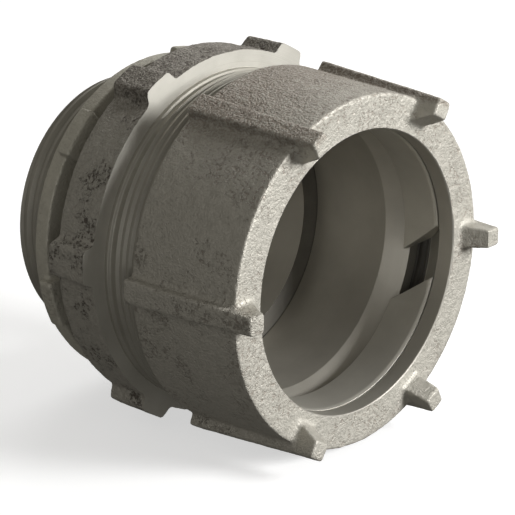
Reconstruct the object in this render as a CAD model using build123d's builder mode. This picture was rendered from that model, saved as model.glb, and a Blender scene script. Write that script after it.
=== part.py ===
"""Threadless compression connector for 2 1/2 inch rigid conduit, in malleable iron.

Millimetres. The conduit's axis is X, the mouth of the gland nut faces +X and +Z is up.
The origin is on the axis, at the shoulder inside the body where the conduit's end stops.
Angles round the axis are in degrees from +Z towards -Y, as a turn about +X goes.
"""
import os
from math import cos, radians, tan

from build123d import *

# Conduit, and the clearances of what it passes and of the threads
conduit_radius = 73.03 / 2
socket_clearance = 0.30
ring_clearance = 0.40
mouth_clearance = 0.80
thread_clearance = 0.05
cone_clearance = 0.30

# How far a cutting shape reaches past the metal, and how closely an edge is found by its size
cut_margin = 1.0
edge_tolerance = 0.01

# Nipple of the body
nipple_end_x = -41.9
nipple_thread_radius = 36.5
nipple_chamfer = 0.9
neck_depth = 1.6
neck_length = 3.0
throat_radius = 31.5
throat_chamfer = 1.8

# Collar of the body, cast a little above the turned axis; its lugs are alike on both sides of the vertical plane
collar_rear_x = -12.8
collar_front_x = 0.9
collar_width = 4.4
collar_rise = 0.6
collar_chamfer = 1.0
collar_lug_height = 3.4
collar_lug_width = 8.8
collar_lug_flank_angle = 20.0
collar_lug_round = 1.2
collar_lug_angles = (28.8, 87.2, 146.7)

# Barrel of the body
barrel_end_x = 31.2
gland_thread_radius = 45.0
barrel_chamfer = 1.3
seat_depth = 6.2
cone_angle = 30.0

# Split ring
ring_rear_x = 31.6
ring_length = 11.2
ring_thickness = 5.1
ring_end_thickness = 1.9
ring_gap = 14.0
ring_gap_slant_angle = 38.0
ring_gap_angle = -103.5

# Gland nut
nut_rear_x = 13.5
nut_face_x = 48.2
nut_rear_wall = 3.2
nut_front_wall = 1.7
nut_chamfer = 0.6
nut_bore_chamfer = 0.8
nut_thread_end_x = 36.0
mouth_chamfer = 0.5
rib_rear_height = 3.0
rib_front_height = 1.8
rib_rear_width = 8.2
rib_front_width = 6.2
rib_draft_angle = 3.0
rib_round = 0.9
rib_phase = 30.0
lug_reach = 6.8
lug_base_offset = 3.0
lug_end_offset = 6.2

# Locknut
locknut_rear_x = -26.1
locknut_thickness = 5.0
locknut_width = 8.2
locknut_chamfer = 0.5
locknut_bore_chamfer = 0.7
locknut_lug_height = 2.2
locknut_lug_root_depth = 3.3
locknut_lug_spread = 17.5
locknut_lug_dish = 2.6
locknut_lug_thickness = 4.8
locknut_lug_phase = 47.5

# The nut and the locknut each carry a ring of six
lug_count = 6

# Worked out from the sizes above
lug_pitch = 360.0 / lug_count
cone_slope = tan(radians(cone_angle))
socket_radius = conduit_radius + socket_clearance
ring_bore_radius = conduit_radius + ring_clearance
mouth_radius = conduit_radius + mouth_clearance
seat_mouth_radius = socket_radius + seat_depth * cone_slope
ring_outer_radius = ring_bore_radius + ring_thickness
ring_end_radius = ring_bore_radius + ring_end_thickness
nut_bore_radius = gland_thread_radius + thread_clearance
nut_rear_radius = gland_thread_radius + nut_rear_wall
nut_front_radius = gland_thread_radius + nut_front_wall
lug_base_radius = mouth_radius + lug_base_offset
lug_end_radius = mouth_radius + lug_end_offset
locknut_bore_radius = nipple_thread_radius + thread_clearance
locknut_radius = nipple_thread_radius + locknut_width
collar_radius = gland_thread_radius + collar_width
collar_lug_radius = collar_radius + collar_lug_height
rib_rear_radius = nut_rear_radius + rib_rear_height
rib_front_radius = nut_front_radius + rib_front_height
locknut_lug_radius = locknut_radius + locknut_lug_height
locknut_lug_root_radius = locknut_radius - locknut_lug_root_depth
ring_front_x = ring_rear_x + ring_length
ring_taper_length = (ring_outer_radius - ring_end_radius) / cone_slope
lug_angles = [index * lug_pitch for index in range(lug_count)]


def turned_edge(builder, radius, edge_x):
    """The circular edge of a turned piece that has this radius, at this place on the axis."""
    circles = builder.edges().filter_by(GeomType.CIRCLE)
    same_radius = circles.filter_by(lambda edge: abs(edge.radius - radius) < edge_tolerance)
    return same_radius.filter_by(lambda edge: abs(edge.center(CenterOf.BOUNDING_BOX).X - edge_x) < edge_tolerance)


# Grip lug of the collar, at the top: a block with sloping flanks, flush with the machined front face
with BuildPart() as collar_lug:
    foot_radius = (throat_radius + collar_radius) / 2
    half_top = collar_lug_width / 2
    half_foot = half_top + (collar_lug_radius - foot_radius) * tan(radians(collar_lug_flank_angle))
    with BuildSketch(Plane.YZ.offset(collar_rear_x)):
        with BuildLine():
            Polyline(
                (-half_foot, foot_radius),
                (-half_top, collar_lug_radius),
                (half_top, collar_lug_radius),
                (half_foot, foot_radius),
                close=True,
            )
        make_face()
    extrude(amount=collar_front_x - collar_rear_x)
    crown_edges = collar_lug.edges().group_by(Axis.Z)[-1]
    front_edge = crown_edges.sort_by(Axis.X)[-1]
    fillet(crown_edges - [front_edge], radius=collar_lug_round)


# Collar of the body without its lugs, on its own middle
with BuildPart() as collar_ring:
    with BuildSketch(Plane.YZ.offset(collar_rear_x)):
        Circle(collar_radius)
    extrude(amount=collar_front_x - collar_rear_x)
    chamfer(turned_edge(collar_ring, collar_radius, collar_rear_x), length=collar_chamfer)


# Connector body: nipple, collar and barrel in one casting, bored through and turned at both ends
with BuildPart() as connector_body:
    neck_radius = nipple_thread_radius - neck_depth
    neck_rear_x = collar_rear_x - neck_length
    seat_rear_x = barrel_end_x - seat_depth
    with BuildSketch(Plane.XZ):
        with BuildLine():
            Polyline(
                (nipple_end_x, 0),
                (nipple_end_x, nipple_thread_radius - nipple_chamfer),
                (nipple_end_x + nipple_chamfer, nipple_thread_radius),
                (neck_rear_x - neck_depth, nipple_thread_radius),
                (neck_rear_x, neck_radius),
                (collar_rear_x, neck_radius),
                (collar_rear_x, gland_thread_radius),
                (barrel_end_x - barrel_chamfer, gland_thread_radius),
                (barrel_end_x, gland_thread_radius - barrel_chamfer),
                (barrel_end_x, 0),
                close=True,
            )
        make_face()
    revolve(axis=Axis.X)
    with Locations((0, 0, collar_rise)):
        add(collar_ring.part)
        for angle in collar_lug_angles:
            add(collar_lug.part, rotation=(angle, 0, 0))
            add(collar_lug.part, rotation=(-angle, 0, 0))
    with BuildSketch(Plane.XZ):
        with BuildLine():
            Polyline(
                (nipple_end_x, 0),
                (nipple_end_x, throat_radius),
                (0, throat_radius),
                (0, socket_radius),
                (seat_rear_x, socket_radius),
                (barrel_end_x, seat_mouth_radius),
                (barrel_end_x, 0),
                close=True,
            )
        make_face()
    revolve(axis=Axis.X, mode=Mode.SUBTRACT)
    chamfer(turned_edge(connector_body, throat_radius, nipple_end_x), length=throat_chamfer)
connector_body.part.label = "connector_body"


# Locknut: a flat ring on the nipple's thread, with lugs dished towards the collar
with BuildPart() as locknut:
    locknut_front_x = locknut_rear_x + locknut_thickness
    with BuildSketch(Plane.XZ):
        with Locations(((locknut_rear_x + locknut_front_x) / 2, 0)):
            Rectangle(locknut_thickness, locknut_radius, align=(Align.CENTER, Align.MIN))
    revolve(axis=Axis.X)
    chamfer(locknut.edges().filter_by(GeomType.CIRCLE), length=locknut_chamfer)
    with BuildSketch(Plane.YZ.offset(locknut_rear_x + locknut_lug_dish)):
        for angle in lug_angles:
            with BuildLine():
                start = 90 + locknut_lug_phase + angle - locknut_lug_spread / 2
                inner_arc = CenterArc((0, 0), locknut_lug_root_radius, start, locknut_lug_spread)
                outer_arc = CenterArc((0, 0), locknut_lug_radius, start, locknut_lug_spread)
                Line(inner_arc @ 0, outer_arc @ 0)
                Line(inner_arc @ 1, outer_arc @ 1)
            make_face()
    extrude(amount=locknut_lug_thickness)
    with BuildSketch(Plane.XZ):
        with BuildLine():
            bore_front_x = locknut_rear_x + locknut_lug_dish + locknut_lug_thickness
            Polyline(
                (locknut_rear_x, 0),
                (locknut_rear_x, locknut_bore_radius + locknut_bore_chamfer),
                (locknut_rear_x + locknut_bore_chamfer, locknut_bore_radius),
                (locknut_front_x - locknut_bore_chamfer, locknut_bore_radius),
                (locknut_front_x, locknut_bore_radius + locknut_bore_chamfer),
                (bore_front_x, locknut_bore_radius + locknut_bore_chamfer),
                (bore_front_x, 0),
                close=True,
            )
        make_face()
    revolve(axis=Axis.X, mode=Mode.SUBTRACT)
locknut.part.label = "locknut"


# Split compression ring: tapered at both ends, and cut through on a slant
with BuildPart() as compression_ring:
    with BuildSketch(Plane.XZ):
        with BuildLine():
            Polyline(
                (ring_rear_x, ring_bore_radius),
                (ring_rear_x, ring_end_radius),
                (ring_rear_x + ring_taper_length, ring_outer_radius),
                (ring_front_x - ring_taper_length, ring_outer_radius),
                (ring_front_x, ring_end_radius),
                (ring_front_x, ring_bore_radius),
                close=True,
            )
        make_face()
    revolve(axis=Axis.X)
    gap_plane = Plane.XY.rotated((ring_gap_angle, 0, 0))
    with BuildSketch(gap_plane):
        with BuildLine():
            gap_rear_x = ring_rear_x - cut_margin
            gap_front_x = ring_front_x + cut_margin
            gap_shift = (gap_front_x - gap_rear_x) * tan(radians(ring_gap_slant_angle)) / 2
            Polyline(
                (gap_rear_x, gap_shift - ring_gap / 2),
                (gap_front_x, -gap_shift - ring_gap / 2),
                (gap_front_x, -gap_shift + ring_gap / 2),
                (gap_rear_x, gap_shift + ring_gap / 2),
                close=True,
            )
        make_face()
    extrude(amount=ring_outer_radius + cut_margin, mode=Mode.SUBTRACT)
compression_ring.part.label = "compression_ring"


# Rib of the gland nut with its forward lug, at the top: the drafted plan, cut to the side outline
with BuildPart() as nut_rib:
    rib_foot_radius = (nut_bore_radius + nut_front_radius) / 2
    lug_end_x = nut_face_x + lug_reach
    with BuildSketch(Plane.XY.offset(lug_base_radius)):
        with BuildLine():
            Polyline(
                (nut_rear_x - rib_round, -rib_rear_width / 2),
                (lug_end_x + rib_round, -rib_front_width / 2),
                (lug_end_x + rib_round, rib_front_width / 2),
                (nut_rear_x - rib_round, rib_rear_width / 2),
                close=True,
            )
        make_face()
    extrude(amount=rib_rear_radius - lug_base_radius, taper=rib_draft_angle)
    with BuildSketch(Plane.XZ):
        with BuildLine():
            Polyline(
                (nut_rear_x, rib_foot_radius),
                (nut_rear_x, rib_rear_radius),
                (lug_end_x, rib_front_radius),
                (lug_end_x, lug_end_radius),
                (nut_face_x, lug_base_radius),
                (nut_face_x - mouth_chamfer, lug_base_radius),
                (nut_thread_end_x, rib_foot_radius),
                close=True,
            )
        make_face()
    extrude(amount=rib_rear_width, both=True, mode=Mode.INTERSECT)
    crest_face = nut_rib.faces().sort_by(Axis.Z)[-1]
    fillet(crest_face.edges().sort_by(Axis.X)[:-1], radius=rib_round)


# Gland nut: a ribbed casting, threaded inside, with a cone that presses the ring inwards
with BuildPart() as gland_nut:
    with BuildSketch(Plane.XZ):
        with BuildLine():
            Polyline(
                (nut_rear_x, 0),
                (nut_rear_x, nut_rear_radius),
                (nut_face_x, nut_front_radius),
                (nut_face_x, 0),
                close=True,
            )
        make_face()
    revolve(axis=Axis.X)
    chamfer(gland_nut.edges().filter_by(GeomType.CIRCLE), length=nut_chamfer)
    for angle in lug_angles:
        add(nut_rib.part, rotation=(rib_phase + angle, 0, 0))
    cone_gap = cone_clearance / cos(radians(cone_angle))
    shoulder_x = ring_front_x + cone_clearance
    cone_start_radius = ring_end_radius + (ring_front_x - nut_thread_end_x) * cone_slope + cone_gap
    cone_end_radius = ring_end_radius - cone_clearance * cone_slope + cone_gap
    with BuildSketch(Plane.XZ):
        with BuildLine():
            Polyline(
                (nut_rear_x, 0),
                (nut_rear_x, nut_bore_radius + nut_bore_chamfer),
                (nut_rear_x + nut_bore_chamfer, nut_bore_radius),
                (nut_thread_end_x, nut_bore_radius),
                (nut_thread_end_x, cone_start_radius),
                (shoulder_x, cone_end_radius),
                (shoulder_x, mouth_radius),
                (nut_face_x - mouth_chamfer, mouth_radius),
                (nut_face_x, mouth_radius + mouth_chamfer),
                (nut_face_x, 0),
                close=True,
            )
        make_face()
    revolve(axis=Axis.X, mode=Mode.SUBTRACT)
gland_nut.part.label = "gland_nut"


os.makedirs("parts", exist_ok=True)
for piece in (connector_body, locknut, compression_ring, gland_nut):
    export_step(piece.part, f"parts/{piece.part.label}.step")
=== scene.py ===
"""The look of the compression connector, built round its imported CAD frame.

Metres in the frame: the conduit's axis is X and the gland nut's mouth faces +X. The drawing sizes below are
in millimetres, and become metres where a mesh is made. An angle round the axis runs from +Z towards -Y.
"""

from math import cos, pi, radians, sin, tan

import bmesh
import bpy
from mathutils import Matrix, Vector


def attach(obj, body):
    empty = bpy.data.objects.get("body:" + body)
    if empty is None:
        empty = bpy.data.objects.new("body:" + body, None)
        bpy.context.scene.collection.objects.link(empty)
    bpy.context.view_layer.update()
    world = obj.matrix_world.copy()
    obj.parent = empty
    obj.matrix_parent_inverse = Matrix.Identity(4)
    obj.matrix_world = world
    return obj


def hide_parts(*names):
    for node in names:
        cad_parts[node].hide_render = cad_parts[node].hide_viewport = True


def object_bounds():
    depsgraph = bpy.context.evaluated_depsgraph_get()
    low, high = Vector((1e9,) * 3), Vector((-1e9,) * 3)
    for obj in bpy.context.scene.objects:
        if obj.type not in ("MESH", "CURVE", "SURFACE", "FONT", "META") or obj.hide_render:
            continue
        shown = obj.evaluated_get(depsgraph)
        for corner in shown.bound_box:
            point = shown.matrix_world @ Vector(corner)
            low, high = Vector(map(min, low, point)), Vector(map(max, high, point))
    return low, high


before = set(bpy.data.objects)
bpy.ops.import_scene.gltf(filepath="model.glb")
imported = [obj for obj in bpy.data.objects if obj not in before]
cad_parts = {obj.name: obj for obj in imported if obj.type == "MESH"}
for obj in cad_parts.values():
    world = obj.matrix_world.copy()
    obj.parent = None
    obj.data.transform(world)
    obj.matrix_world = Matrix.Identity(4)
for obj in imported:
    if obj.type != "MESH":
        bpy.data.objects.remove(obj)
cad_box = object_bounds()

# The studio: a pale floor that runs out of sight, soft air all round that is dimmer from below, a soft lamp
# facing the nut's mouth, and weaker ones at the side and behind. The camera stands where the photographer
# stood, a little above the axis and about 43 degrees round from the side.
camera_place = Vector((0.4133, -0.4294, 0.1960))
camera_aim = Vector((0.0280, -0.0172, 0.0039))
camera_lens = 164.3
film_width = 36.0
floor_reach = 6.0
floor_colour = (0.60, 0.60, 0.60, 1.0)
floor_dullness = 0.8
floor_glow = 0.95
air_colour = (1.0, 0.965, 0.88, 1.0)
air_strength = 0.235
air_strength_below = 0.09
air_fade_low = -0.5
air_fade_high = 0.1
lamps = {
    "mouth_lamp": {"place": (1.00, 0.42, 0.40), "size": 0.40, "power": 20.4},
    "side_lamp": {"place": (0.75, -0.90, 0.08), "size": 0.60, "power": 2.1},
    "back_lamp": {"place": (-0.50, 0.80, 0.90), "size": 0.80, "power": 4.6},
}


def put(tree, kind, inputs=None, **properties):
    """A node of this kind, set up, with each named input given its value or wired to a socket."""
    node = tree.nodes.new(kind)
    for name, value in properties.items():
        setattr(node, name, value)
    for name, value in (inputs or {}).items():
        if isinstance(value, bpy.types.NodeSocket):
            tree.links.new(value, node.inputs[name])
        else:
            node.inputs[name].default_value = value
    return node


def remapped(tree, value, low, high, to_low=0.0, to_high=1.0):
    """The value, with its stretch from low to high laid over the other stretch and held at its ends."""
    laid_over = put(tree, "ShaderNodeMapRange", {
        "Value": value, "From Min": low, "From Max": high, "To Min": to_low, "To Max": to_high})
    return laid_over.outputs["Result"]


studio_camera = bpy.data.objects.new("studio_camera", bpy.data.cameras.new("studio_camera"))
studio_camera.data.lens = camera_lens
studio_camera.data.sensor_width = film_width
studio_camera.data.clip_end = 4 * floor_reach
studio_camera.location = camera_place
studio_camera.rotation_euler = (camera_aim - camera_place).to_track_quat("-Z", "Y").to_euler()
bpy.context.scene.collection.objects.link(studio_camera)
bpy.context.scene.camera = studio_camera
bpy.context.scene.view_settings.view_transform = "Standard"

studio_air = bpy.data.worlds.new("studio_air")
studio_air.use_nodes = True
air_tree = studio_air.node_tree
air_direction = put(air_tree, "ShaderNodeTexCoord").outputs["Generated"]
air_height = put(air_tree, "ShaderNodeSeparateXYZ", {"Vector": air_direction}).outputs["Z"]
air_shade = remapped(air_tree, air_height, air_fade_low, air_fade_high, air_strength_below, air_strength)
air_tree.nodes["Background"].inputs["Color"].default_value = air_colour
air_tree.links.new(air_shade, air_tree.nodes["Background"].inputs["Strength"])
bpy.context.scene.world = studio_air

for lamp_name, lamp in lamps.items():
    light = bpy.data.lights.new(lamp_name, "AREA")
    light.size = lamp["size"]
    light.energy = lamp["power"]
    holder = bpy.data.objects.new(lamp_name, light)
    holder.location = lamp["place"]
    holder.rotation_euler = (camera_aim - Vector(lamp["place"])).to_track_quat("-Z", "Y").to_euler()
    bpy.context.scene.collection.objects.link(holder)

floor_level = cad_box[0].z
floor_corners = [
    (across * floor_reach, along * floor_reach, floor_level)
    for across, along in ((-1, -1), (1, -1), (1, 1), (-1, 1))]
floor_mesh = bpy.data.meshes.new("studio_floor")
floor_mesh.from_pydata(floor_corners, [], [(0, 1, 2, 3)])
studio_floor = bpy.data.objects.new("studio_floor", floor_mesh)
bpy.context.scene.collection.objects.link(studio_floor)
floor_paper = bpy.data.materials.new("floor_paper")
floor_paper.use_nodes = True
paper_shader = floor_paper.node_tree.nodes["Principled BSDF"]
paper_shader.inputs["Base Color"].default_value = floor_colour
paper_shader.inputs["Roughness"].default_value = floor_dullness
paper_shader.inputs["Emission Color"].default_value = floor_colour
paper_shader.inputs["Emission Strength"].default_value = floor_glow
floor_mesh.materials.append(floor_paper)
studio_floor.visible_diffuse = False
studio_floor.visible_glossy = False


# The connector body is one malleable iron casting, zinc plated. Its collar keeps the cast skin, with six
# grip lugs; the nipple, the collar's front face, the barrel and the whole bore are turned, and both outside
# threads are cut. The shoulder that stops the conduit is made near black, as painted shade deep in the bore.
mm = 0.001
turning_steps = 240
nipple_end_x = -41.9
nipple_crest = 36.5
nipple_root = 35.4
nipple_root_flat = 0.9
nipple_crest_flat = 0.8
nipple_pitch = 3.175
nipple_turns = 7.6
nipple_lead = 0.6
nipple_lift = 2.4
nipple_chamfer = 1.0
nipple_thread_end_x = -17.6
neck_radius = 34.9
neck_run = 1.6
throat_radius = 31.5
throat_chamfer_length = 2.4
throat_chamfer_height = 2.0
collar_rear_x = -12.8
collar_front_x = 0.9
collar_radius = 49.4
collar_edge = 1.4
collar_rise = 0.6
collar_lug_radius = 52.8
collar_lug_crown = 8.8
collar_lug_flank = tan(radians(20.0))
collar_lug_round = 1.2
collar_lug_rear_slope = 0.9
collar_lug_angles = (28.8, 87.2, 146.7)
facing_stock = 2.0
facing_tool_radius = 60.0
facing_tool_width = 6.0
barrel_end_x = 31.2
barrel_crest = 45.0
barrel_root = 44.2
barrel_pitch = 2.309
barrel_turns = 12.4
barrel_lead = 0.2
barrel_root_flat = 0.65
barrel_crest_flat = 0.5
barrel_chamfer = 1.3
barrel_shoulder_end_x = 1.9
barrel_relief_start_x = 2.3
barrel_relief_end_x = 3.8
barrel_thread_start_x = 4.3
core_overlap = 3.0
core_sink = 2.0
groove_over = 0.3
socket_radius = 36.815
# Depth of the layer on the conduit stop that is cut with the near-black metal, as painted shade
stop_shade_layer = 0.4
stop_tool_bevel = 0.3
seat_depth = 6.2
cone_angle = radians(30.0)
cone_slope = tan(cone_angle)
bore_tool_over = 2.0
casting_voxel = 0.5


def noise(tree, place, scale, detail, roughness):
    """The strength, from 0 to 1, of a cloudy noise at this place."""
    return put(tree, "ShaderNodeTexNoise", {
        "Vector": place, "Scale": scale, "Detail": detail, "Roughness": roughness}).outputs["Fac"]


def figured(tree, operation, *terms):
    """The outcome of this arithmetic on its terms."""
    return put(tree, "ShaderNodeMath", dict(enumerate(terms)), operation=operation).outputs[0]


def blended(tree, share, first, second):
    """The colour that lies this share of the way from the first to the second."""
    mix = put(tree, "ShaderNodeMix", {"Factor": share, "A": first, "B": second}, data_type="RGBA")
    return mix.outputs["Result"]


def spot(tree):
    """The place on the piece, its parts along each axis, and its distance from the conduit's axis."""
    place = put(tree, "ShaderNodeTexCoord").outputs["Object"]
    apart = put(tree, "ShaderNodeSeparateXYZ", {"Vector": place}).outputs
    across = put(tree, "ShaderNodeCombineXYZ", {"X": apart["Y"], "Y": apart["Z"]})
    radius = put(tree, "ShaderNodeVectorMath", {0: across.outputs["Vector"]}, operation="LENGTH")
    return place, apart, radius.outputs["Value"]


def cast_skin(name, light, dark, film, pit_share):
    """Zinc-plated cast iron: sandy, pitted in patches, edges lighter from rubbing and a painted highlight,
    thin brown film on top.
    """
    material = bpy.data.materials.new(name)
    material.use_nodes = True
    tree = material.node_tree
    shader = tree.nodes["Principled BSDF"]
    shader.inputs["Metallic"].default_value = 0.45
    place, apart, radius = spot(tree)
    outside = remapped(tree, radius, 0.0460, 0.0475)
    patches = noise(tree, place, 75.0, 5.0, 0.7)
    mottle = noise(tree, place, 480.0, 5.0, 0.62)
    grain = noise(tree, place, 1700.0, 2.0, 0.6)
    pit_shape = remapped(tree, noise(tree, place, 900.0, 3.0, 0.75), 0.52, 0.60)
    pit_places = remapped(tree, patches, 0.50, 0.57, 0.0, pit_share)
    pits = figured(tree, "MULTIPLY", pit_shape, pit_places)
    high_up = remapped(tree, apart["Z"], 0.034, 0.044, 0.08, 0.85)
    lying = figured(tree, "MULTIPLY", high_up, outside)
    thin_places = remapped(tree, grain, 0.36, 0.64, 1.0, 0.15)
    films = figured(tree, "MULTIPLY", lying, thin_places)
    # Sharp edges lighten towards the light colour: partly rubbed wear, partly a painted highlight
    rubbed_and_highlit = remapped(tree, put(tree, "ShaderNodeNewGeometry").outputs["Pointiness"], 0.515, 0.57, 0.0, 0.7)
    sand = figured(tree, "MULTIPLY_ADD", mottle, 0.9, grain)
    metal = blended(tree, remapped(tree, sand, 0.72, 1.12), dark, light)
    filmed = blended(tree, films, metal, film)
    pitted = blended(tree, pits, filmed, film)
    tree.links.new(blended(tree, rubbed_and_highlit, pitted, light), shader.inputs["Base Color"])
    tree.links.new(remapped(tree, grain, 0.3, 0.7, 0.44, 0.66), shader.inputs["Roughness"])
    height = figured(tree, "SUBTRACT", sand, figured(tree, "MULTIPLY", pits, 2.0))
    relief = put(tree, "ShaderNodeBump", {
        "Height": height, "Strength": remapped(tree, outside, 0.0, 1.0, 0.5, 1.0), "Distance": 0.00048})
    tree.links.new(relief.outputs["Normal"], shader.inputs["Normal"])
    return material


def turned_finish(name, light, dark, metallic, dullness_low, dullness_high, mark_depth):
    """Metal off the lathe: fine rings round the axis, with a slow, cloudy change of tone."""
    material = bpy.data.materials.new(name)
    material.use_nodes = True
    tree = material.node_tree
    shader = tree.nodes["Principled BSDF"]
    shader.inputs["Metallic"].default_value = metallic
    place, apart, radius = spot(tree)
    ring_place = put(tree, "ShaderNodeCombineXYZ", {"X": apart["X"], "Y": radius}).outputs["Vector"]
    marks = noise(tree, ring_place, 2600.0, 3.0, 0.7)
    clouds = noise(tree, place, 90.0, 5.0, 0.55)
    metal = blended(tree, remapped(tree, clouds, 0.3, 0.7), dark, light)
    tree.links.new(metal, shader.inputs["Base Color"])
    tree.links.new(remapped(tree, marks, 0.3, 0.7, dullness_low, dullness_high), shader.inputs["Roughness"])
    relief = put(tree, "ShaderNodeBump", {"Height": marks, "Strength": 0.35, "Distance": mark_depth})
    tree.links.new(relief.outputs["Normal"], shader.inputs["Normal"])
    return material


def eased(outline, steps=4):
    """The outline with each corner rounded over the reach given as the point's third number."""
    points = []
    for index, (first, second, reach) in enumerate(outline):
        corner = Vector((first, second))
        if reach == 0:
            points.append(corner)
            continue
        before = Vector(outline[index - 1][:2])
        after = Vector(outline[(index + 1) % len(outline)][:2])
        start = corner + (before - corner).normalized() * reach
        end = corner + (after - corner).normalized() * reach
        for step in range(steps + 1):
            share = step / steps
            points.append(start.lerp(corner, share).lerp(corner.lerp(end, share), share))
    return points


def solid(name, loops, metal, closed=True):
    """A closed mesh skinned over loops of points in millimetres; a loop of one point is a pole."""
    shape = bmesh.new()
    rings = [[shape.verts.new([value * mm for value in point]) for point in loop] for loop in loops]
    pairs = list(zip(rings, rings[1:] + rings[:1])) if closed else list(zip(rings, rings[1:]))
    for ring, following in pairs:
        if len(ring) == 1 and len(following) == 1:
            continue
        for index in range(max(len(ring), len(following))):
            corners = [ring[index % len(ring)], ring[(index + 1) % len(ring)],
                       following[(index + 1) % len(following)], following[index % len(following)]]
            shape.faces.new(list(dict.fromkeys(corners)))
    if not closed:
        shape.faces.new(rings[0])
        shape.faces.new(rings[-1])
    bmesh.ops.recalc_face_normals(shape, faces=shape.faces)
    mesh = bpy.data.meshes.new(name)
    shape.to_mesh(mesh)
    shape.free()
    mesh.materials.append(metal)
    piece = bpy.data.objects.new(name, mesh)
    bpy.context.scene.collection.objects.link(piece)
    return piece


def turned(name, outline, metal):
    """A solid of revolution round X from its outline of (x, radius, ease); radius 0 is on the axis."""
    turns = [2 * pi * step / turning_steps for step in range(turning_steps)]
    loops = []
    for x, radius in eased(outline):
        if radius < mm:
            loops.append([(x, 0.0, 0.0)])
        else:
            loops.append([(x, -radius * sin(turn), radius * cos(turn)) for turn in turns])
    return solid(name, loops, metal)


def finished(piece):
    """The piece with its modifiers worked into a plain mesh."""
    mesh = bpy.data.meshes.new_from_object(piece.evaluated_get(bpy.context.evaluated_depsgraph_get()))
    piece.modifiers.clear()
    spent = piece.data
    piece.data = mesh
    bpy.data.meshes.remove(spent)
    return piece


def worked(piece, tool, operation="DIFFERENCE"):
    """The piece after the tool has cut it, or has been joined to it; each cut face takes the tool's metal."""
    cut = piece.modifiers.new("cut", "BOOLEAN")
    cut.object = tool
    cut.operation = operation
    cut.solver = "MANIFOLD"
    cut.material_mode = "TRANSFER"
    finished(piece)
    bpy.data.objects.remove(tool)
    return piece


def joined(pieces):
    """One object that holds the meshes of all these pieces."""
    shape = bmesh.new()
    for piece in pieces:
        shape.from_mesh(piece.data)
    shape.to_mesh(pieces[0].data)
    shape.free()
    for spare in pieces[1:]:
        bpy.data.objects.remove(spare)
    return pieces[0]


def new_tree(name, sizes):
    """A geometry tree with a geometry input and output, and these named sizes."""
    tree = bpy.data.node_groups.new(name, "GeometryNodeTree")
    tree.interface.new_socket("Geometry", in_out="INPUT", socket_type="NodeSocketGeometry")
    tree.interface.new_socket("Geometry", in_out="OUTPUT", socket_type="NodeSocketGeometry")
    for size_name, kind in sizes:
        tree.interface.new_socket(size_name, in_out="INPUT", socket_type=f"NodeSocket{kind}")
    return tree, put(tree, "NodeGroupInput").outputs, put(tree, "NodeGroupOutput")


def end_tree(tree, geometry, given, handed):
    """The tree's last two steps: what it made becomes real, and takes the metal that the tree is given."""
    real = put(tree, "GeometryNodeRealizeInstances", {"Geometry": geometry})
    clad = put(tree, "GeometryNodeSetMaterial", {"Geometry": real.outputs[0], "Material": given["Metal"]})
    tree.links.new(clad.outputs[0], handed.inputs[0])


def dressed(piece, tree, **sizes):
    """The piece with this geometry tree run on it, its named sizes set, and the result a plain mesh."""
    modifier = piece.modifiers.new(tree.name, "NODES")
    modifier.node_group = tree
    for item in tree.interface.items_tree:
        key = item.name.lower().replace(" ", "_")
        if item.in_out == "INPUT" and key in sizes:
            modifier[item.identifier] = sizes[key]
    return finished(piece)


# Geometry tree: one lug, set round the axis a number of times
lug_ring_tree, given, handed = new_tree("lug_ring", [
    ("Count", "Int"), ("Phase", "Float"), ("Step", "Float"), ("Metal", "Material")])
places = put(lug_ring_tree, "GeometryNodePoints", {"Count": given["Count"]})
place_number = put(lug_ring_tree, "GeometryNodeInputIndex").outputs[0]
turn_angle = figured(lug_ring_tree, "MULTIPLY_ADD", place_number, given["Step"], given["Phase"])
turn = put(lug_ring_tree, "ShaderNodeCombineXYZ", {"X": turn_angle})
copies = put(lug_ring_tree, "GeometryNodeInstanceOnPoints", {
    "Points": places.outputs[0], "Instance": given["Geometry"], "Rotation": turn.outputs[0]})
end_tree(lug_ring_tree, copies.outputs[0], given, handed)

# Geometry tree: the skin a sand mould leaves, worked inwards so that no size grows
mould_tree, given, handed = new_tree("mould_skin", [
    ("Lump", "Float"), ("Lump Depth", "Float"), ("Sand", "Float"), ("Sand Depth", "Float"),
    ("Metal", "Material")])
mould_place = put(mould_tree, "GeometryNodeInputPosition").outputs[0]
lumps = put(mould_tree, "ShaderNodeTexNoise", {"Vector": mould_place, "Scale": given["Lump"], "Detail": 2.0})
sand_grains = put(mould_tree, "ShaderNodeTexNoise", {
    "Vector": mould_place, "Scale": given["Sand"], "Detail": 3.0})
lump_drop = figured(mould_tree, "MULTIPLY", lumps.outputs[0], given["Lump Depth"])
whole_drop = figured(mould_tree, "MULTIPLY_ADD", sand_grains.outputs[0], given["Sand Depth"], lump_drop)
outward = put(mould_tree, "ShaderNodeVectorMath", {
    0: put(mould_tree, "GeometryNodeInputNormal").outputs[0], "Scale": whole_drop}, operation="SCALE")
inward = put(mould_tree, "ShaderNodeVectorMath", {0: outward.outputs[0], 1: (-1.0, -1.0, -1.0)},
             operation="MULTIPLY")
moved = put(mould_tree, "GeometryNodeSetPosition", {
    "Geometry": given["Geometry"], "Offset": inward.outputs[0]})
end_tree(mould_tree, moved.outputs[0], given, handed)

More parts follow.
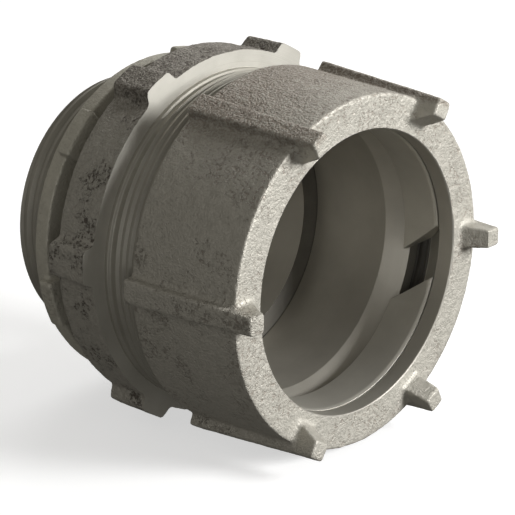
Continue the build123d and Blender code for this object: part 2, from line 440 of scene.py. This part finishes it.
# Geometry tree: the path of a threading tool, a tapered groove wound round the axis and lifted out at its end
helix_steps = 160
lift_turns = 0.4
thread_tree, given, handed = new_tree("thread_path", [
    ("Turns", "Float"), ("Pitch", "Float"), ("Middle Radius", "Float"), ("Depth", "Float"),
    ("Inner Width", "Float"), ("Outer Width", "Float"), ("Start", "Float"), ("Lift", "Float"),
    ("Metal", "Material")])
climb = figured(thread_tree, "MULTIPLY", given["Turns"], given["Pitch"])
helix = put(thread_tree, "GeometryNodeCurveSpiral", {
    "Resolution": helix_steps, "Rotations": given["Turns"], "Start Radius": given["Middle Radius"],
    "End Radius": given["Middle Radius"], "Height": climb, "Reverse": True})
along = put(thread_tree, "GeometryNodeSplineParameter").outputs["Factor"]
lift_length = figured(thread_tree, "DIVIDE", lift_turns, given["Turns"])
lift_from = figured(thread_tree, "SUBTRACT", 1.0, lift_length)
lift_share = remapped(thread_tree, along, lift_from, 1.0)
lift_height = figured(thread_tree, "MULTIPLY", lift_share, given["Lift"])
helix_place = put(thread_tree, "GeometryNodeInputPosition").outputs[0]
flat_place = put(thread_tree, "ShaderNodeVectorMath", {0: helix_place, 1: (1.0, 1.0, 0.0)},
                 operation="MULTIPLY")
away = put(thread_tree, "ShaderNodeVectorMath", {0: flat_place.outputs[0]}, operation="NORMALIZE")
lift = put(thread_tree, "ShaderNodeVectorMath", {0: away.outputs[0], "Scale": lift_height}, operation="SCALE")
lifted = put(thread_tree, "GeometryNodeSetPosition", {
    "Geometry": helix.outputs[0], "Offset": lift.outputs[0]})
upright = put(thread_tree, "GeometryNodeSetCurveNormal", {"Curve": lifted.outputs[0]}, mode="Z_UP")
groove = put(thread_tree, "GeometryNodeCurvePrimitiveQuadrilateral", {
    "Height": given["Depth"], "Bottom Width": given["Outer Width"], "Top Width": given["Inner Width"],
    "Offset": 0.0}, mode="TRAPEZOID")
groove_turned = put(thread_tree, "GeometryNodeTransform", {
    "Geometry": groove.outputs[0], "Rotation": (0.0, 0.0, radians(90.0))})
swept = put(thread_tree, "GeometryNodeCurveToMesh", {
    "Curve": upright.outputs[0], "Profile Curve": groove_turned.outputs[0], "Fill Caps": True})
start_place = put(thread_tree, "ShaderNodeCombineXYZ", {"X": given["Start"]})
laid = put(thread_tree, "GeometryNodeTransform", {
    "Geometry": swept.outputs[0], "Translation": start_place.outputs[0],
    "Rotation": (0.0, radians(90.0), 0.0)})
end_tree(thread_tree, laid.outputs[0], given, handed)


def thread_tool(name, metal, start, turns, pitch, inner_radius, inner_width, outer_radius, outer_width, lift):
    """The groove that one threading pass cuts, as a solid, in millimetres; it starts under the axis."""
    path = bpy.data.objects.new(name, bpy.data.meshes.new(name))
    bpy.context.scene.collection.objects.link(path)
    return dressed(
        path, thread_tree, turns=turns, pitch=pitch * mm,
        middle_radius=(inner_radius + outer_radius) / 2 * mm, depth=(outer_radius - inner_radius) * mm,
        inner_width=inner_width * mm, outer_width=outer_width * mm, start=start * mm, lift=lift * mm,
        metal=metal)


def moulded(blank, voxel, metal, lump_depth, sand_depth, smoothing):
    """The blank as a sand casting: its parts run together, its edges and roots softened, its skin uneven."""
    melt = blank.modifiers.new("melt", "REMESH")
    melt.mode = "VOXEL"
    melt.voxel_size = voxel * mm
    soften = blank.modifiers.new("soften", "SMOOTH")
    soften.factor = 0.5
    soften.iterations = smoothing
    finished(blank)
    return dressed(
        blank, mould_tree, lump=170.0, lump_depth=lump_depth * mm, sand=900.0, sand_depth=sand_depth * mm,
        metal=metal)


def lug_ring(lug, metal, count, phase, step):
    """This lug, set round the axis: count copies a step apart, the first one turned by the phase."""
    return dressed(lug, lug_ring_tree, count=count, phase=radians(phase), step=radians(step), metal=metal)


def shown(piece, body, node):
    """The piece smoothed, kept crisp where a tool met the casting, and put in place of its CAD node."""
    piece.data.shade_smooth()
    piece.data.set_sharp_from_angle(angle=radians(38.0))
    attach(piece, body)
    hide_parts(node)
    return piece


body_skin = cast_skin(
    "body_skin", light=(0.42, 0.40, 0.355, 1), dark=(0.33, 0.315, 0.275, 1), film=(0.09, 0.07, 0.055, 1),
    pit_share=0.85)
body_faced = turned_finish(
    "body_faced", light=(0.51, 0.495, 0.445, 1), dark=(0.43, 0.415, 0.37, 1), metallic=0.4,
    dullness_low=0.46, dullness_high=0.62, mark_depth=0.00014)
# A darker copy of the same turned metal as the collar face: the darkening is painted shade on the threads,
# nipple and locknut bore
body_turned = turned_finish(
    "body_turned", light=(0.38, 0.365, 0.32, 1), dark=(0.32, 0.305, 0.265, 1), metallic=0.6,
    dullness_low=0.46, dullness_high=0.58, mark_depth=0.00010)
body_bored = turned_finish(
    "body_bored", light=(0.46, 0.44, 0.39, 1), dark=(0.40, 0.38, 0.335, 1), metallic=0.75,
    dullness_low=0.42, dullness_high=0.52, mark_depth=0.00008)
# Near-black metal on the conduit stop's face: painted shade deep in the bore
body_stop = turned_finish(
    "body_stop", light=(0.17, 0.16, 0.14, 1), dark=(0.12, 0.115, 0.10, 1), metallic=0.5,
    dullness_low=0.50, dullness_high=0.64, mark_depth=0.00010)

cast_front_x = collar_front_x + facing_stock
collar_lug_pairs = []
for angle in collar_lug_angles:
    collar_lug_sections = []
    for x, sink in ((collar_rear_x, collar_lug_rear_slope), (collar_rear_x + collar_lug_rear_slope, 0.0),
                    (cast_front_x, 0.0)):
        crown = collar_lug_radius - sink
        half_crown = collar_lug_crown / 2 - sink
        half_foot = half_crown + (crown - neck_radius) * collar_lug_flank
        section = eased([
            (-half_foot, neck_radius, 0), (-half_crown, crown, collar_lug_round),
            (half_crown, crown, collar_lug_round), (half_foot, neck_radius, 0)])
        collar_lug_sections.append([(x, across, height) for across, height in section])
    collar_lug = solid("collar_lug", collar_lug_sections, body_skin, closed=False)
    collar_lug_pairs.append(lug_ring(collar_lug, body_skin, 2, -angle, 2 * angle))
collar_blank = turned("connector_body_cast", [
    (collar_rear_x, 0, 0), (collar_rear_x, collar_radius, collar_edge), (cast_front_x, collar_radius, 0),
    (cast_front_x, 0, 0)], body_skin)
collar_casting = moulded(joined([collar_blank] + collar_lug_pairs), casting_voxel, body_skin, 0.35, 0.4, 3)
collar_casting.data.transform(Matrix.Translation((0, 0, collar_rise * mm)))
worked(collar_casting, turned("facing_tool", [
    (collar_front_x, 0, 0), (collar_front_x, facing_tool_radius, 0),
    (collar_front_x + facing_tool_width, facing_tool_radius, 0), (collar_front_x + facing_tool_width, 0, 0)],
    body_faced))

core_waist_radius = barrel_root - core_sink
body_core = turned("body_core", [
    (nipple_end_x, 0, 0), (nipple_end_x, nipple_crest - nipple_chamfer, 0.3),
    (nipple_end_x + nipple_chamfer, nipple_crest, 0.3), (nipple_thread_end_x, nipple_crest, 0.4),
    (nipple_thread_end_x + neck_run, neck_radius, 0.8), (collar_rear_x + core_overlap, neck_radius, 0),
    (collar_rear_x + core_overlap, core_waist_radius, 0), (collar_front_x - 1.0, core_waist_radius, 0),
    (collar_front_x - 0.9, barrel_crest, 0), (barrel_shoulder_end_x, barrel_crest, 0.25),
    (barrel_relief_start_x, barrel_root, 0.25), (barrel_relief_end_x, barrel_root, 0.25),
    (barrel_thread_start_x, barrel_crest, 0.25), (barrel_end_x - barrel_chamfer, barrel_crest, 0.2),
    (barrel_end_x, barrel_crest - barrel_chamfer, 0.2), (barrel_end_x, 0, 0)], body_turned)
nipple_slope = (nipple_pitch - nipple_crest_flat - nipple_root_flat) / (nipple_crest - nipple_root)
nipple_opening = nipple_pitch - nipple_crest_flat + groove_over * nipple_slope
nipple_groove_start_x = nipple_end_x - nipple_lead
worked(body_core, thread_tool(
    "nipple_tool", body_turned, nipple_groove_start_x, nipple_turns, nipple_pitch, nipple_root,
    nipple_root_flat, nipple_crest + groove_over, nipple_opening, nipple_lift))
barrel_slope = (barrel_pitch - barrel_crest_flat - barrel_root_flat) / (barrel_crest - barrel_root)
barrel_opening = barrel_pitch - barrel_crest_flat + groove_over * barrel_slope
barrel_groove_start_x = barrel_thread_start_x - barrel_lead
worked(body_core, thread_tool(
    "barrel_tool", body_turned, barrel_groove_start_x, barrel_turns, barrel_pitch, barrel_root,
    barrel_root_flat, barrel_crest + groove_over, barrel_opening, 0.0))
worked(collar_casting, body_core, "UNION")

seat_over_radius = socket_radius + (seat_depth + bore_tool_over) * cone_slope
worked(collar_casting, turned("body_bore_tool", [
    (nipple_end_x - bore_tool_over, 0, 0),
    (nipple_end_x - bore_tool_over, throat_radius + throat_chamfer_height + bore_tool_over, 0),
    (nipple_end_x, throat_radius + throat_chamfer_height, 0),
    (nipple_end_x + throat_chamfer_length, throat_radius, 1.0), (stop_shade_layer, throat_radius, 0),
    (stop_shade_layer, socket_radius, 0), (barrel_end_x - seat_depth, socket_radius, 0.2),
    (barrel_end_x + bore_tool_over, seat_over_radius, 0), (barrel_end_x + bore_tool_over, 0, 0)], body_bored))
# The last cut gives the conduit stop's face the near-black metal, as painted shade
worked(collar_casting, turned("stop_tool", [
    (0, 0, 0), (0, socket_radius, 0), (stop_shade_layer, socket_radius, 0),
    (stop_shade_layer + stop_tool_bevel, socket_radius - stop_tool_bevel, 0), (stop_shade_layer + stop_tool_bevel, 0, 0)],
    body_stop))
shown(collar_casting, "connector", "connector_body")


# The locknut is a flat ring cast in malleable iron and zinc plated, tapped to run on the nipple. Six lugs on
# its rim are dished towards the collar, for a screwdriver to drive it round.
locknut_rear_x = -26.1
locknut_thickness = 5.0
locknut_radius = 44.7
locknut_edge = 0.7
locknut_lug_radius = 46.9
locknut_lug_root = 41.4
locknut_lug_half_angle = 8.75
locknut_lug_edge = 0.6
locknut_lug_round = 1.0
locknut_lug_phase = 47.5
locknut_lug_rear_x = -23.5
locknut_lug_front_x = -18.7
locknut_bore = 35.55
locknut_bore_chamfer = 0.9
locknut_tap_turns = 4.0
locknut_voxel = 0.42
tool_over = 1.0
tap_over = 0.4
tap_slack = 0.15
# A tap starts this many pitches after the outside thread: the half puts its groove over a ridge
tap_skip = 3.5

locknut_skin = cast_skin(
    "locknut_skin", light=(0.52, 0.50, 0.43, 1), dark=(0.44, 0.42, 0.36, 1), film=(0.22, 0.19, 0.15, 1),
    pit_share=0.3)
locknut_front_x = locknut_rear_x + locknut_thickness
bend_steps = 8
locknut_lug_sections = []
for x, sink in ((locknut_lug_rear_x, locknut_lug_edge), (locknut_lug_rear_x + locknut_lug_edge, 0.0),
                (locknut_lug_front_x - locknut_lug_edge, 0.0), (locknut_lug_front_x, locknut_lug_edge)):
    outer = locknut_lug_radius - sink
    spread = locknut_lug_half_angle - 0.8 * sink
    bends = [radians(-spread + 2 * spread * step / bend_steps) for step in range(bend_steps + 1)]
    rim = [(outer * sin(bend), outer * cos(bend), locknut_lug_round if step in (0, bend_steps) else 0)
           for step, bend in enumerate(bends)]
    root = [(locknut_lug_root * sin(bend), locknut_lug_root * cos(bend), 0) for bend in reversed(bends)]
    locknut_lug_sections.append([(x, across, height) for across, height in eased(rim + root)])
locknut_lug = solid("locknut_lugs", locknut_lug_sections, locknut_skin, closed=False)
locknut_lugs = lug_ring(locknut_lug, locknut_skin, 6, locknut_lug_phase, 60.0)
locknut_blank = turned("locknut_cast", [
    (locknut_rear_x, 0, 0), (locknut_rear_x, locknut_radius, locknut_edge),
    (locknut_front_x, locknut_radius, locknut_edge), (locknut_front_x, 0, 0)], locknut_skin)
locknut_casting = moulded(joined([locknut_blank, locknut_lugs]), locknut_voxel, locknut_skin, 0.15, 0.1, 1)
worked(locknut_casting, turned("locknut_bore_tool", [
    (locknut_rear_x - tool_over, 0, 0), (locknut_rear_x - tool_over, nipple_crest + tool_over, 0),
    (locknut_rear_x + locknut_bore_chamfer, locknut_bore, 0),
    (locknut_front_x - locknut_bore_chamfer, locknut_bore, 0),
    (locknut_front_x + tool_over, nipple_crest + tool_over, 0),
    (locknut_lug_front_x + tool_over, nipple_crest + tool_over, 0), (locknut_lug_front_x + tool_over, 0, 0)],
    body_turned))
locknut_tap_crest = nipple_crest + tap_slack
locknut_tap_opening = nipple_crest_flat + (locknut_tap_crest - locknut_bore + tap_over) * nipple_slope
worked(locknut_casting, thread_tool(
    "locknut_tap", body_turned, nipple_groove_start_x + tap_skip * nipple_pitch, locknut_tap_turns,
    nipple_pitch, locknut_bore - tap_over, locknut_tap_opening, locknut_tap_crest, nipple_crest_flat, 0.0))
shown(locknut_casting, "locknut", "locknut")


# The compression ring is turned from steel, tapered at both ends and slit on a slant, so that the nut's cone
# can close it on the conduit. It lies loose between the nut and the body.
ring_rear_x = 31.6
ring_front_x = 42.8
ring_bore = 36.915
ring_end_radius = 38.8
ring_outer_radius = 42.0
ring_corner = 0.15
ring_lip_height = 0.35
ring_lip_length = 0.9
ring_gap = 14.0
ring_gap_slant = tan(radians(38.0))
ring_gap_angle = radians(-103.5)
ring_edge_break = 0.08
gap_tool_rise = 3.0
gap_tool_sink = 6.0

ring_metal = turned_finish(
    "ring_metal", light=(0.65, 0.63, 0.57, 1), dark=(0.58, 0.56, 0.505, 1), metallic=0.8,
    dullness_low=0.40, dullness_high=0.52, mark_depth=0.00008)
ring_taper_length = (ring_outer_radius - ring_end_radius) / cone_slope
compression_ring = turned("compression_ring_turned", [
    (ring_rear_x, ring_bore, ring_corner), (ring_rear_x, ring_end_radius, ring_corner),
    (ring_rear_x + ring_taper_length, ring_outer_radius, 0),
    (ring_front_x - ring_taper_length, ring_outer_radius, 0), (ring_front_x, ring_end_radius, ring_corner),
    (ring_front_x, ring_bore + ring_lip_height, 0.05), (ring_front_x - ring_lip_length, ring_bore, 0.3)],
    ring_metal)
ring_middle_x = (ring_rear_x + ring_front_x) / 2
gap_tool_ends = (ring_rear_x - tool_over, ring_front_x + tool_over)
gap_loops = []
for height in (ring_bore - gap_tool_sink, ring_outer_radius + gap_tool_rise):
    loop = []
    for end, side in ((0, -1), (1, -1), (1, 1), (0, 1)):
        x = gap_tool_ends[end]
        across = side * ring_gap / 2 - (x - ring_middle_x) * ring_gap_slant
        y = across * cos(ring_gap_angle) - height * sin(ring_gap_angle)
        z = across * sin(ring_gap_angle) + height * cos(ring_gap_angle)
        loop.append((x, y, z))
    gap_loops.append(loop)
worked(compression_ring, solid("gap_tool", gap_loops, ring_metal, closed=False))
ring_edges = compression_ring.modifiers.new("broken_edges", "BEVEL")
ring_edges.width = ring_edge_break * mm
ring_edges.segments = 2
ring_edges.limit_method = "ANGLE"
ring_edges.angle_limit = radians(40.0)
finished(compression_ring)
shown(compression_ring, "ring", "compression_ring")


# The gland nut is cast in malleable iron and zinc plated. Six ribs run along it and out past its face as
# lugs, for a wrench or a hammer; it is bored and threaded from behind, and its inner cone and land hold the
# ring.
nut_rear_x = 13.5
nut_face_x = 48.2
nut_rear_radius = 48.2
nut_front_radius = 46.7
nut_rear_edge = 0.8
nut_face_edge = 0.7
nut_bore = 44.35
nut_bore_chamfer = 1.2
nut_thread_end_x = 36.0
nut_relief_length = 2.0
nut_relief_slope = 0.6
nut_relief_clearance = 0.3
nut_tap_turns = 9.8
mouth_radius = 37.315
mouth_chamfer = 0.5
cone_clearance = 0.3
lug_end_x = 55.0
lug_base_radius = 40.3
lug_end_radius = 43.5
lug_tip_edge = 0.3
rib_rear_radius = 51.2
rib_front_radius = 48.5
rib_rear_width = 8.2
rib_front_width = 6.2
rib_rear_edge = 0.5
rib_crest_round = 1.0
rib_foot_round = 0.6
rib_draft = tan(radians(3.0))
rib_phase = 30.0

nut_skin = cast_skin(
    "nut_skin", light=(0.46, 0.44, 0.39, 1), dark=(0.375, 0.36, 0.315, 1), film=(0.16, 0.115, 0.085, 1),
    pit_share=0.4)
nut_turned = turned_finish(
    "nut_turned", light=(0.56, 0.54, 0.485, 1), dark=(0.50, 0.48, 0.43, 1), metallic=0.8,
    dullness_low=0.40, dullness_high=0.52, mark_depth=0.00008)
# The nut's tapped bore is made near black: painted shade inside the nut
nut_tapped = turned_finish(
    "nut_tapped", light=(0.12, 0.115, 0.10, 1), dark=(0.08, 0.075, 0.065, 1), metallic=0.6,
    dullness_low=0.46, dullness_high=0.62, mark_depth=0.00010)
rib_sections = []
for x, sink, foot in (
        (nut_rear_x, rib_rear_edge, lug_base_radius), (nut_rear_x + rib_rear_edge, 0.0, lug_base_radius),
        (nut_face_x, 0.0, lug_base_radius), (lug_end_x - lug_tip_edge, 0.0, lug_end_radius - 0.1),
        (lug_end_x, lug_tip_edge, lug_end_radius)):
    share = (x - nut_rear_x) / (lug_end_x - nut_rear_x)
    crown = rib_rear_radius + share * (rib_front_radius - rib_rear_radius) - sink
    half_base = (rib_rear_width + share * (rib_front_width - rib_rear_width)) / 2 - sink
    half_crown = half_base - (crown - lug_base_radius) * rib_draft
    half_foot = half_base - (foot - lug_base_radius) * rib_draft
    section = eased([
        (-half_foot, foot, rib_foot_round), (-half_crown, crown, rib_crest_round),
        (half_crown, crown, rib_crest_round), (half_foot, foot, rib_foot_round)])
    rib_sections.append([(x, across, height) for across, height in section])
nut_rib = solid("nut_ribs", rib_sections, nut_skin, closed=False)
nut_ribs = lug_ring(nut_rib, nut_skin, 6, rib_phase, 60.0)
nut_blank = turned("gland_nut_cast", [
    (nut_rear_x, 0, 0), (nut_rear_x, nut_rear_radius, nut_rear_edge),
    (nut_face_x, nut_front_radius, nut_face_edge), (nut_face_x, 0, 0)], nut_skin)
nut_casting = moulded(joined([nut_blank, nut_ribs]), casting_voxel, nut_skin, 0.25, 0.2, 4)
nut_relief_radius = barrel_crest + nut_relief_clearance
nut_relief_start_x = nut_thread_end_x - nut_relief_length
worked(nut_casting, turned("nut_bore_tool", [
    (nut_rear_x - tool_over, 0, 0), (nut_rear_x - tool_over, barrel_crest + 2 * tool_over, 0),
    (nut_rear_x + nut_bore_chamfer, nut_bore, 0), (nut_relief_start_x - nut_relief_slope, nut_bore, 0.2),
    (nut_relief_start_x, nut_relief_radius, 0.3), (nut_thread_end_x, nut_relief_radius, 0.3),
    (nut_thread_end_x, 0, 0)], nut_tapped))
cone_gap = cone_clearance / cos(cone_angle)
land_rear_x = ring_front_x + cone_clearance
cone_start_radius = ring_end_radius + (ring_front_x - nut_thread_end_x) * cone_slope + cone_gap
cone_end_radius = ring_end_radius - cone_clearance * cone_slope + cone_gap
worked(nut_casting, turned("nut_mouth_tool", [
    (nut_thread_end_x - tool_over, 0, 0), (nut_thread_end_x - tool_over, cone_start_radius, 0),
    (nut_thread_end_x + 0.2, cone_start_radius, 0.2), (land_rear_x, cone_end_radius, 0),
    (land_rear_x, mouth_radius, 0.2), (nut_face_x - mouth_chamfer, mouth_radius, 0.1),
    (nut_face_x + tool_over, mouth_radius + mouth_chamfer + tool_over, 0), (nut_face_x + tool_over, 0, 0)],
    nut_turned))
nut_tap_crest = barrel_crest + tap_slack
nut_tap_opening = barrel_crest_flat + (nut_tap_crest - nut_bore + tap_over) * barrel_slope
worked(nut_casting, thread_tool(
    "nut_tap", nut_tapped, barrel_groove_start_x + tap_skip * barrel_pitch, nut_tap_turns, barrel_pitch,
    nut_bore - tap_over, nut_tap_opening, nut_tap_crest, barrel_crest_flat, 0.0))
shown(nut_casting, "nut", "gland_nut")
